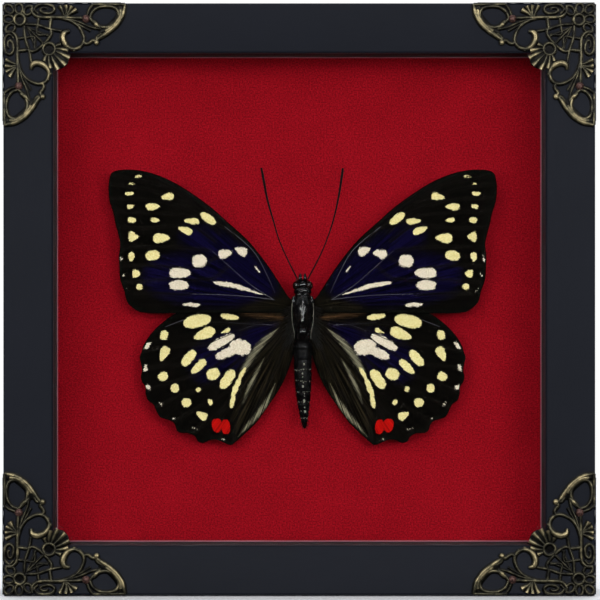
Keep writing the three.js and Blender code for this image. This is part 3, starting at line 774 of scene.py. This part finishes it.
# fine tapering bristles: dark grey-brown, paler where light catches them
bodyHair = mottledMaterial("short_dark_bristles", 0.7, 2.0,
                           [(0.4, "#040303"), (0.62, "#120F0B"), (0.78, "#3A3427")],
                           {"Roughness": 0.6, "Specular IOR Level": 0.15})
# pale scales, powdery and grey-white; the tufts down the back are partly painted glints, and the lines
# down the thorax's flanks a painted highlight
paleScalesAndGlints = mottledMaterial("pale_scales_and_painted_glints", 0.12, 2.0, [(0.35, "#5F5D55"), (0.6, body["tuftGlint"])],
                             {"Roughness": 0.7})

# compound eye: dark brown, glossy, with a fine hexagon-like relief of facets
facetEye = cellMaterial("faceted_compound_eye", 0.12, [(0.2, body["eye"]), (0.8, "#0A0605")],
                        {"Roughness": 0.1}, -0.03)


def radiusAt(outline, up):
    # an outline's radius at a height, with straight stretches between its points
    stretches = zip(outline, outline[1:])
    (low, lowRadius), (high, highRadius) = next(pair for pair in stretches if up <= pair[1][0])
    return lowRadius + (highRadius - lowRadius) * (up - low) / (high - low)


def bristles(count, outline, lean, length):
    # short hairs standing out from a turned body and leaning along it
    path = smoothPath(outline, 8)[4:-4]
    wires = []
    for _ in range(count):
        spot = path[int(chance.random() * (len(path) - 1))]
        turn = chance.choice((-1, 1)) * chance.uniform(0.3, 0.75) * math.pi      # the sides, not the back
        outwards = Vector((math.sin(turn), -math.cos(turn) * body["flatness"], 0))
        start = outwards * spot.y * 0.97 + Vector((0, 0, spot.x))
        reach = length * chance.uniform(0.6, 1.2)
        middle = start + outwards * reach * 0.4 + Vector((0, 0, lean * reach * 0.3))
        end = start + outwards * reach * 0.6 + Vector((0, 0, lean * reach))
        wires.append(([start, middle, end], [0.045, 0.03, 0.008]))
    return roundWires(wires, 0, 2)


shape = bmesh.new()
addTurned(shape, body["thorax"])
for vert in shape.verts:
    up, radius = vert.co.z, math.hypot(vert.co.x, vert.co.y)
    crest = body["crest"] - body["crestSlope"] * (up - body["crestAt"]) - body["flatness"] * radius
    (low, lowFade), (high, highFade) = body["crestEnds"]
    fade = min(max((high - up) / highFade, 0), 1) * min(max((up - low) / lowFade, 0), 1)
    rise = max(crest, 0) * fade * math.exp(-(vert.co.x / body["crestWidth"]) ** 2)
    vert.co.y = vert.co.y * body["flatness"] - (rise if vert.co.y < 0 else 0)
for side in (-1, 1):
    addBall(shape, (side * 2.35, -0.9, -0.7), (0.65, 0.6, 1.5))        # the plates over the wing roots
    addBall(shape, (side * 0.75, -1.2, 1.2), (0.85, 0.7, 0.6))         # collar
addBall(shape, (0, -1.95, -8.5), (1.3, 0.85, 1.5), 24)                # the knob at its hind end
addBall(shape, (0, 0.1, -9.6), (2.2, 1.7, 1.9), 24)                    # the waist
addBall(shape, (0, 0, 2.0), (2.3, 1.6, 1.5), 24)                      # the neck
join(shape, bristles(body["thoraxHairs"], body["thorax"], -0.9, 0.95), 1)
tresses = []                            # long hairs from the flanks, combed over the wing roots
for _ in range(body["tresses"]):
    side = chance.choice((-1, 1))
    start = Vector((side * chance.uniform(2.0, 2.6), chance.uniform(-0.9, 0.3),
                    chance.uniform(-9.5, -1.5)))
    sweep = Vector((side * chance.uniform(1.2, 3.6), 0, start.z * chance.uniform(0.25, 0.6)))
    lift = Vector((0, -0.45, 0))
    tresses.append(([start, start + sweep * 0.5 + lift, start + sweep], [0.07, 0.05, 0.012]))
join(shape, roundWires(tresses, 0, 3), 1)
# pale lines down both flanks of the thorax: a painted highlight along its sides
paleFlankLines = [([(side * across, -1.35, up) for across, up in body["paleFlankLine"]], [0.02, 0.06, 0.05, 0.02])
         for side in (-1, 1)]
join(shape, roundWires(paleFlankLines, 1, 6), 2)
keepPiece("thorax_haired", toFrame(shape, body["depth"]), [shellBlack, bodyHair, paleScalesAndGlints],
          "thorax", 70)

shape = bmesh.new()
addTurned(shape, body["abdomen"])
lengthwise = [e for e in shape.edges if abs(e.verts[0].co.z - e.verts[1].co.z) > 0.15]
bmesh.ops.subdivide_edges(shape, edges=lengthwise, cuts=1, use_grid_fill=True)
for vert in shape.verts:
    near = min(abs(vert.co.z - edge) for edge in body["segmentEdges"])
    tuck = 1 - 0.09 * math.exp(-(near / 0.22) ** 2)
    vert.co.x *= tuck
    vert.co.y *= body["flatness"] * tuck
join(shape, bristles(body["abdomenHairs"], body["abdomen"], -1.0, 0.6), 1)
# pale tufts down the back: partly pale scales, partly painted glints
glintTufts = bmesh.new()
for step in range(body["glintTufts"]):
    up = body["tuftTop"] - body["tuftPitch"] * (step + chance.uniform(-0.3, 0.3))
    across, half = chance.uniform(-0.1, 0.3), chance.uniform(0.14, 0.38)
    forwards = -body["flatness"] * radiusAt(body["abdomen"], up)
    addBall(glintTufts, (across, forwards, up), (half * 0.75, 0.16, half), 8)
for edge in body["segmentEdges"][2:]:    # loose scales along each ring's hind edge
    radius = radiusAt(body["abdomen"], edge)
    for _ in range(body["ringScales"]):
        turn = chance.uniform(-1.1, 1.1)
        across, forwards = math.sin(turn), -0.88 * math.cos(turn)
        spot = (across * radius, forwards * radius, edge + chance.uniform(0.1, 0.6))
        addBall(glintTufts, spot, (chance.uniform(0.05, 0.12), 0.08, chance.uniform(0.08, 0.2)), 6)
join(shape, glintTufts, 2)
for vert in shape.verts:
    vert.co.x += body["tipBend"] * max(0, (-12 - vert.co.z) / 21) ** 2
keepPiece("abdomen_segmented", toFrame(shape, body["depth"]), [scaledSkin, bodyHair, paleScalesAndGlints],
          "abdomen", 60)

shape = bmesh.new()
addBall(shape, (0, 0, 3.65), (1.5, 1.35, 1.45), 24)
addBall(shape, (0, -0.2, 2.5), (1.2, 1.1, 0.75), 24)
crown = [(2.4, 0.2), (2.6, 1.2), (3.6, 1.5), (4.6, 1.2), (5.1, 0.2)]
join(shape, bristles(body["headHairs"], crown, 0.8, 0.8), 1)
for side in (-1, 1):
    palp = [(side * 0.55, -0.7, 4.4), (side * 0.62, -0.9, 5.4), (side * 0.55, -0.8, 6.6)]
    join(shape, roundWires([(palp, [0.45, 0.55, 0.48, 0.2])], 3))
eyes = bmesh.new()
for side in (-1, 1):
    addBall(eyes, (side * 1.6, -0.15, 3.5), (1.05, 1.1, 1.15), 28)
join(shape, eyes, 2)
keepPiece("head_haired", toFrame(shape, body["depth"]), [shellBlack, bodyHair, facetEye], "head", 70)

antennaShell, tree, shader, place = newMaterial("ringed_antenna_shell")
# thin jointed antennae: black-brown with fine rings, each ring slightly paler
rings = addNode(tree, "TexWave", {"Vector": place, "Scale": 1 / (1.2 * mm)}, bands_direction="Z")
tone = addNode(tree, "ValToRGB", {0: rings.outputs["Fac"]}, [(0.3, "#040202"), (0.9, "#0E0807")])
feed(shader, {"Base Color": tone, "Roughness": 0.6, "Specular IOR Level": 0.1})
for side, route in body["antennae"].items():
    wire = ([(across, 0, up) for across, up in route], body["antennaRadii"])
    node = "antenna_" + side
    shape = toFrame(roundWires([wire], 4, 16), body["depth"])
    keepPiece(node + "_clubbed", shape, [antennaShell], node, 60)
print("body and antennae done")


# in the corners, u and v are mm from the frame's corner along its two edges
corners = {
    "edge": 75.0, "middleUp": 75.25, "face": -14.0,
    "gauge": 1.25,               # how much fuller than their drawn radii the wires are cast
    "bed": 0.5,                 # mm, how far the wires' middles stand off the wood
    "shadowSkirt": 0.2,              # mm, how far the flat dark skirt at each wire's foot reaches: a painted shadow round the wires
    "spread": 1.03,             # the drawn pattern is laid a little larger
    "press": 0.85,              # the scrollwork is stamped, so its wires are a little flat
    "overhang": 0.1,            # mm past the frame's edge
    "flapHalf": 0.115,          # mm
    "flapArches": [(3.6, 2.6), (9.6, 2.8), (15.8, 2.8), (21.8, 2.6), (26.8, 1.9)],  # middle, half width
    "hollow": -14.15, "ridge": -15.05,          # mm, the depths where the paler tone begins and where it is full
    "flapFrom": 75.1, "flapFull": 75.3,         # mm from the middle; the flaps are toned as the ridges are
    "leastWearAndLight": 0.62, "mostWearAndLight": 1.6,         # the wear and painted highlight that the first and the last tone stand for
    "low": "#080706", "middle": "#24231D", "high": "#565240", "wornAndLit": "#A89A74",
    "copperDark": "#33211D", "copper": "#6C4D45",
}
# wires are (points, radii); each is also laid mirrored about the corner's diagonal
scrollwork = [
    ([(7.2, 0.6), (7, 1.8), (8, 3.1), (9.8, 3.5), (13.1, 3.5), (16.9, 3.6), (20.4, 3.75)],
     [0.26, 0.34, 0.36, 0.3]),
    ([(8.6, 2.6), (7.7, 1.6), (8.6, 0.5), (10.3, 0.3), (12, 0.65), (12.6, 1.6), (11.7, 2.5), (10, 2.4),
     (9.2, 1.8), (9.6, 1.2), (10.7, 1.2), (11, 1.6)], [0.25, 0.3, 0.3, 0.22]),
    ([(5.5, 5.2), (8.5, 5.4), (11.6, 6.4), (14.4, 6.9)], [0.24, 0.28, 0.24]),
    ([(5.9, 5.9), (8.4, 7), (11.4, 8.2)], [0.16, 0.18]),
    ([(8.8, 3.3), (8.5, 5.6), (8.4, 7.7), (11.1, 7.7)], [0.24, 0.22, 0.2]),
    ([(11.8, 3.6), (11.5, 5.9)], [0.34, 0.3]),
    ([(11.5, 5.9), (11.9, 7.4), (11, 9), (10.1, 9.9)], [0.26, 0.3, 0.26]),
    ([(16.4, 6.9), (15.2, 7.2), (14.7, 8.5), (15.3, 10.1), (16.5, 11.1), (17.9, 11.2), (19.3, 10.4),
     (19.9, 8.9), (19.4, 7.1), (18.2, 5.4), (15.9, 4.1), (13.1, 3.5)],
     [0.3, 0.6, 0.62, 0.5, 0.36, 0.34, 0.32, 0.3, 0.28, 0.26]),
    ([(14.9, 3.7), (18.4, 4.6), (21.5, 5.9), (24, 6.4)], [0.26, 0.22]),
    ([(14.9, 3.9), (18.2, 5.1), (21.5, 6.9)], [0.24, 0.18]),
    ([(21.3, 3.6), (22, 2.1), (23.7, 1), (26, 0.8), (27.8, 1.4), (28.5, 2.9), (27.8, 4.6), (26.2, 5.8),
     (24.2, 5.9), (22.5, 5), (21.3, 3.7)], [0.32, 0.3, 0.36, 0.42, 0.36, 0.32]),
    ([(30, 0.3), (29.7, 1.5), (29.2, 3.3), (27.9, 5.3), (26, 7), (24.1, 8.3), (23, 9.1)],
     [0.3, 0.5, 0.55, 0.5, 0.36]),
    ([(29.9, 0.4), (28.2, 0.35), (25.4, 0.3), (22.2, 0.3)], [0.3, 0.26]),
    ([(28.9, 1.6), (28.7, 3.4), (27.2, 5.5), (25.2, 6.9)], [0.45, 0.55, 0.45]),
    ([(22.2, 4.3), (22.9, 5.3), (23.9, 6.2)], [0.3, 0.52, 0.3]),
    ([(19.7, 9.6), (20.4, 10), (21.2, 9.8), (22, 9.2), (22.9, 9.5)], [0.34, 0.32, 0.4]),
    ([(23, 9.3), (23.1, 8.3), (24.2, 7.5)], [0.32, 0.26]),
    ([(20.7, 2.9), (21.2, 1.5), (22.1, 0.35)], [0.26, 0.24]),
    ([(15.6, 3.4), (16.6, 2.5), (18.1, 1.6)], [0.24, 0.34, 0.56]),
    ([(15.5, 3.3), (16.3, 1.9), (16.9, 0.7)], [0.24, 0.32, 0.52]),
    ([(15.4, 3.3), (15.6, 1.8), (15.4, 0.5)], [0.24, 0.32, 0.5]),
    ([(15.1, 3.3), (14.6, 2), (13.9, 0.6)], [0.24, 0.3, 0.48]),
    ([(12.7, 10.7), (13.3, 10.4), (14.2, 10.1)], [0.2, 0.3, 0.46]),
    ([(12.8, 11.2), (14.3, 11.3), (16, 11.7)], [0.2, 0.34, 0.56]),
    ([(12.7, 11.8), (14.4, 12.5), (16.3, 13.5)], [0.2, 0.36, 0.58]),
]
diagonalWires = [([(5.8, 5.8), (8, 8), (9.9, 9.9)], [0.22, 0.22]),
                 ([(12.5, 12.5), (13.9, 13.9), (15.3, 15.3)], [0.22, 0.38, 0.6])]
bands = [([(29, 0.7), (28.7, 3), (27.4, 4.9), (25.6, 6.3), (23.6, 7.4)], [0.7, 1.05, 1.1, 0.9, 0.5]),
         ([(22.3, 4.6), (23.2, 5.9), (24.6, 6.7)], [0.35, 0.7, 0.5])]    # low plates under the wires
rings = [((4.05, 4.05), 1.33, 0.34), ((11.3, 11.3), 1.46, 0.3)]         # centre, radius, wire
petals = [(6.2, 1.8), (3.9, 1.35), (1.45, 1.45), (1.35, 3.9), (1.8, 6.2)]
knobs = [((23, 9.7), 0.8), ((16, 10.9), 0.46), ((17.4, 11.6), 0.48), ((18.8, 11), 0.44)]


def loopAround(centre, reach, wide, turn, count=14):
    # a closed oval, its long side turned by an angle
    spots = []
    for step in range(count + 1):
        angle = math.tau * step / count
        spot = Vector((reach * math.cos(angle), wide * math.sin(angle)))
        spot.rotate(Matrix.Rotation(turn, 2))
        spots.append((centre[0] + spot.x, centre[1] + spot.y))
    return spots


def onFace(route, bed=corners["bed"]):
    # from (u, v) to a corner's own space, with the frame's face at depth 0 and forwards negative
    return [(u, -bed, v) for u, v in route]


def mirrored(route):
    return [(v, u) for u, v in route]


antiqueBronze, tree, shader, place = newMaterial("antiqued_bronze_plate")
# stamped steel with antiqued bronze plating, toned by how far forward each part stands: near black in the
# hollows, olive brown on the flanks and pale brass on the ridges; the pale ridge tops are partly rubbed
# plating and partly painted highlight, and the dark flanks partly patina and partly painted shade
split = addNode(tree, "SeparateXYZ", {0: place}).outputs
proud = addNode(tree, "MapRange", {"Value": split["Y"], "From Min": corners["hollow"] * mm,
                                   "From Max": corners["ridge"] * mm})
across = addNode(tree, "Math", {0: split["X"]}, operation="ABSOLUTE")
upwards = addNode(tree, "Math", {0: split["Z"], 1: corners["middleUp"] * mm}, operation="SUBTRACT")
upwards = addNode(tree, "Math", {0: upwards}, operation="ABSOLUTE")
outermost = addNode(tree, "Math", {0: across, 1: upwards}, operation="MAXIMUM")
onFlap = addNode(tree, "MapRange", {"Value": outermost, "From Min": corners["flapFrom"] * mm,
                                    "From Max": corners["flapFull"] * mm})
rise = addNode(tree, "Math", {0: proud, 1: onFlap}, operation="MAXIMUM")
patches = addNode(tree, "TexNoise", {"Vector": place, "Scale": 1 / (1.6 * mm), "Detail": 3.0})
grain = addNode(tree, "TexNoise", {"Vector": place, "Scale": 1 / (0.22 * mm)})
# wear and painted light together: forward parts paler, as rubbed plating and painted highlight, low parts
# darker, as patina and painted shade
wearAndHighlight = addNode(tree, "Math", {0: patches, 1: 0.9, 2: rise}, operation="MULTIPLY_ADD")
wearAndHighlight = addNode(tree, "Math", {0: grain, 1: 0.25, 2: wearAndHighlight}, operation="MULTIPLY_ADD")
wornAndLit = addNode(tree, "MapRange", {"Value": wearAndHighlight, "From Min": corners["leastWearAndLight"],
                                  "From Max": corners["mostWearAndLight"]})
tone = addNode(tree, "ValToRGB", {0: wornAndLit},
               [(0.1, corners["low"]), (0.45, corners["middle"]), (0.7, corners["high"]),
                (0.95, corners["wornAndLit"])])
grit = addNode(tree, "Bump", {"Height": grain, "Strength": 0.4, "Distance": 0.05 * mm})
feed(shader, {"Base Color": tone, "Metallic": 0.8, "Roughness": 0.33, "Normal": grit})

# copper-washed bead, tarnished to a dull pinkish brown
copperBead = mottledMaterial("dulled_copper_bead", 0.5, 4.0,
                             [(0.35, corners["copperDark"]), (0.65, corners["copper"])],
                             {"Metallic": 0.6, "Roughness": 0.42})

wires = [(onFace(route), radii) for points, radii in scrollwork for route in (points, mirrored(points))]
wires += [(onFace(route), radii) for route, radii in diagonalWires]
wires += [(onFace(loopAround(centre, radius, radius, 0, 20)), [wire, wire])
          for centre, radius, wire in rings]
eyelet = rings[0][0]
for u, v in petals:
    turn = math.atan2(v - eyelet[1], u - eyelet[0])
    wires.append((onFace(loopAround((u, v), 1.25, 0.92, turn)), [0.26, 0.26]))
face = roundWires([(points, [corners["gauge"] * radius for radius in radii])
                   for points, radii in wires], 3, 5)
for (u, v), radius in knobs:
    for spot in ((u, v), (v, u)):
        addBall(face, (spot[0], -corners["bed"], spot[1]), (radius, radius * 0.9, radius))
addBall(face, (13.6, -0.16, 13.6), (2.6, 0.26, 2.6), 24)               # the shell's ground
for centre, radius, _ in rings:
    addBall(face, (centre[0], -0.04, centre[1]), (radius, 0.05, radius), 24)    # dark discs in the rings: painted shadow in their holes
plates = roundWires([(onFace(route, 0), radii)
                     for points, radii in bands for route in (points, mirrored(points))], 3, 5)
reshape(plates, (1, 0.3, 1), (0, -0.22, 0))
join(face, plates)
reshape(face, (1, corners["press"], 1))
# a flat dark skirt round each wire's foot: painted shadow on the wood beside the wires
shadowSkirts = roundWires([(points, [corners["gauge"] * radius + corners["shadowSkirt"] for radius in radii])
                     for points, radii in wires], 0, 3)
reshape(shadowSkirts, (1, 0.25, 1), (0, -0.03, 0))
join(face, shadowSkirts)
beads = bmesh.new()
for u, v in ((20.4, 3.85), (3.85, 20.4)):
    addBall(beads, (u, -0.5, v), (1.0, 0.65, 1.0), 20)
join(face, beads, 1)
reshape(face, (corners["spread"], 1, corners["spread"]))
for vert in face.verts:                 # dressed flush where the pattern meets the frame's outer edges
    vert.co.x, vert.co.z = max(vert.co.x, -corners["overhang"]), max(vert.co.z, -corners["overhang"])

# the flaps go round the frame's edges as thin pierced strips: a rail, arches, rings and drops
flapWires = [([(0.2, 0.3), (10, 0.3), (20, 0.3), (29.8, 0.3)], [0.3, 0.3])]
angles = [step * math.pi / 6 for step in range(7)]
for middle, half in corners["flapArches"]:
    tall = 4.6 * half / 2.8
    arch = [(middle + half * math.cos(a), 0.6 + tall * math.sin(a)) for a in angles]
    flapWires.append((arch, [0.3, 0.42, 0.3]))
    flapWires.append(([(middle, 0.5), (middle, 3.0 * half / 2.8)], [0.24, 0.5]))
    flapWires.append((loopAround((middle + half * 1.08, 1.5), 0.55, 0.8, 0), [0.2, 0.2]))
strip = roundWires([([(u, depth, 0) for u, depth in points], radii) for points, radii in flapWires], 3, 5)
for vert in strip.verts:
    vert.co.z = max(-1, min(1, vert.co.z / 0.3)) * corners["flapHalf"]
    vert.co.x = max(0.0, vert.co.x)
for level in (1, 0):
    flap = strip.copy()
    reshape(flap, move=(0, 0, -corners["flapHalf"] - 0.01))
    if level == 0:
        bmesh.ops.rotate(flap, verts=flap.verts, matrix=Matrix(((0, 0, 1), (0, 1, 0), (1, 0, 0))))
    join(face, flap)
strip.free()

for upName, upward in (("top", 1), ("bottom", -1)):
    for side, outward in (("left", -1), ("right", 1)):
        shape = face.copy()
        for vert in shape.verts:
            u, depth, v = vert.co
            vert.co = (outward * (corners["edge"] - u) * mm, (corners["face"] + depth) * mm,
                       (corners["middleUp"] + upward * (corners["edge"] - v)) * mm)
        bmesh.ops.recalc_face_normals(shape, faces=shape.faces)
        node = "corner_" + upName + "_" + side
        keepPiece(node + "_pierced", shape, [antiqueBronze, copperBead], node, 60)
face.free()
print("corners done")
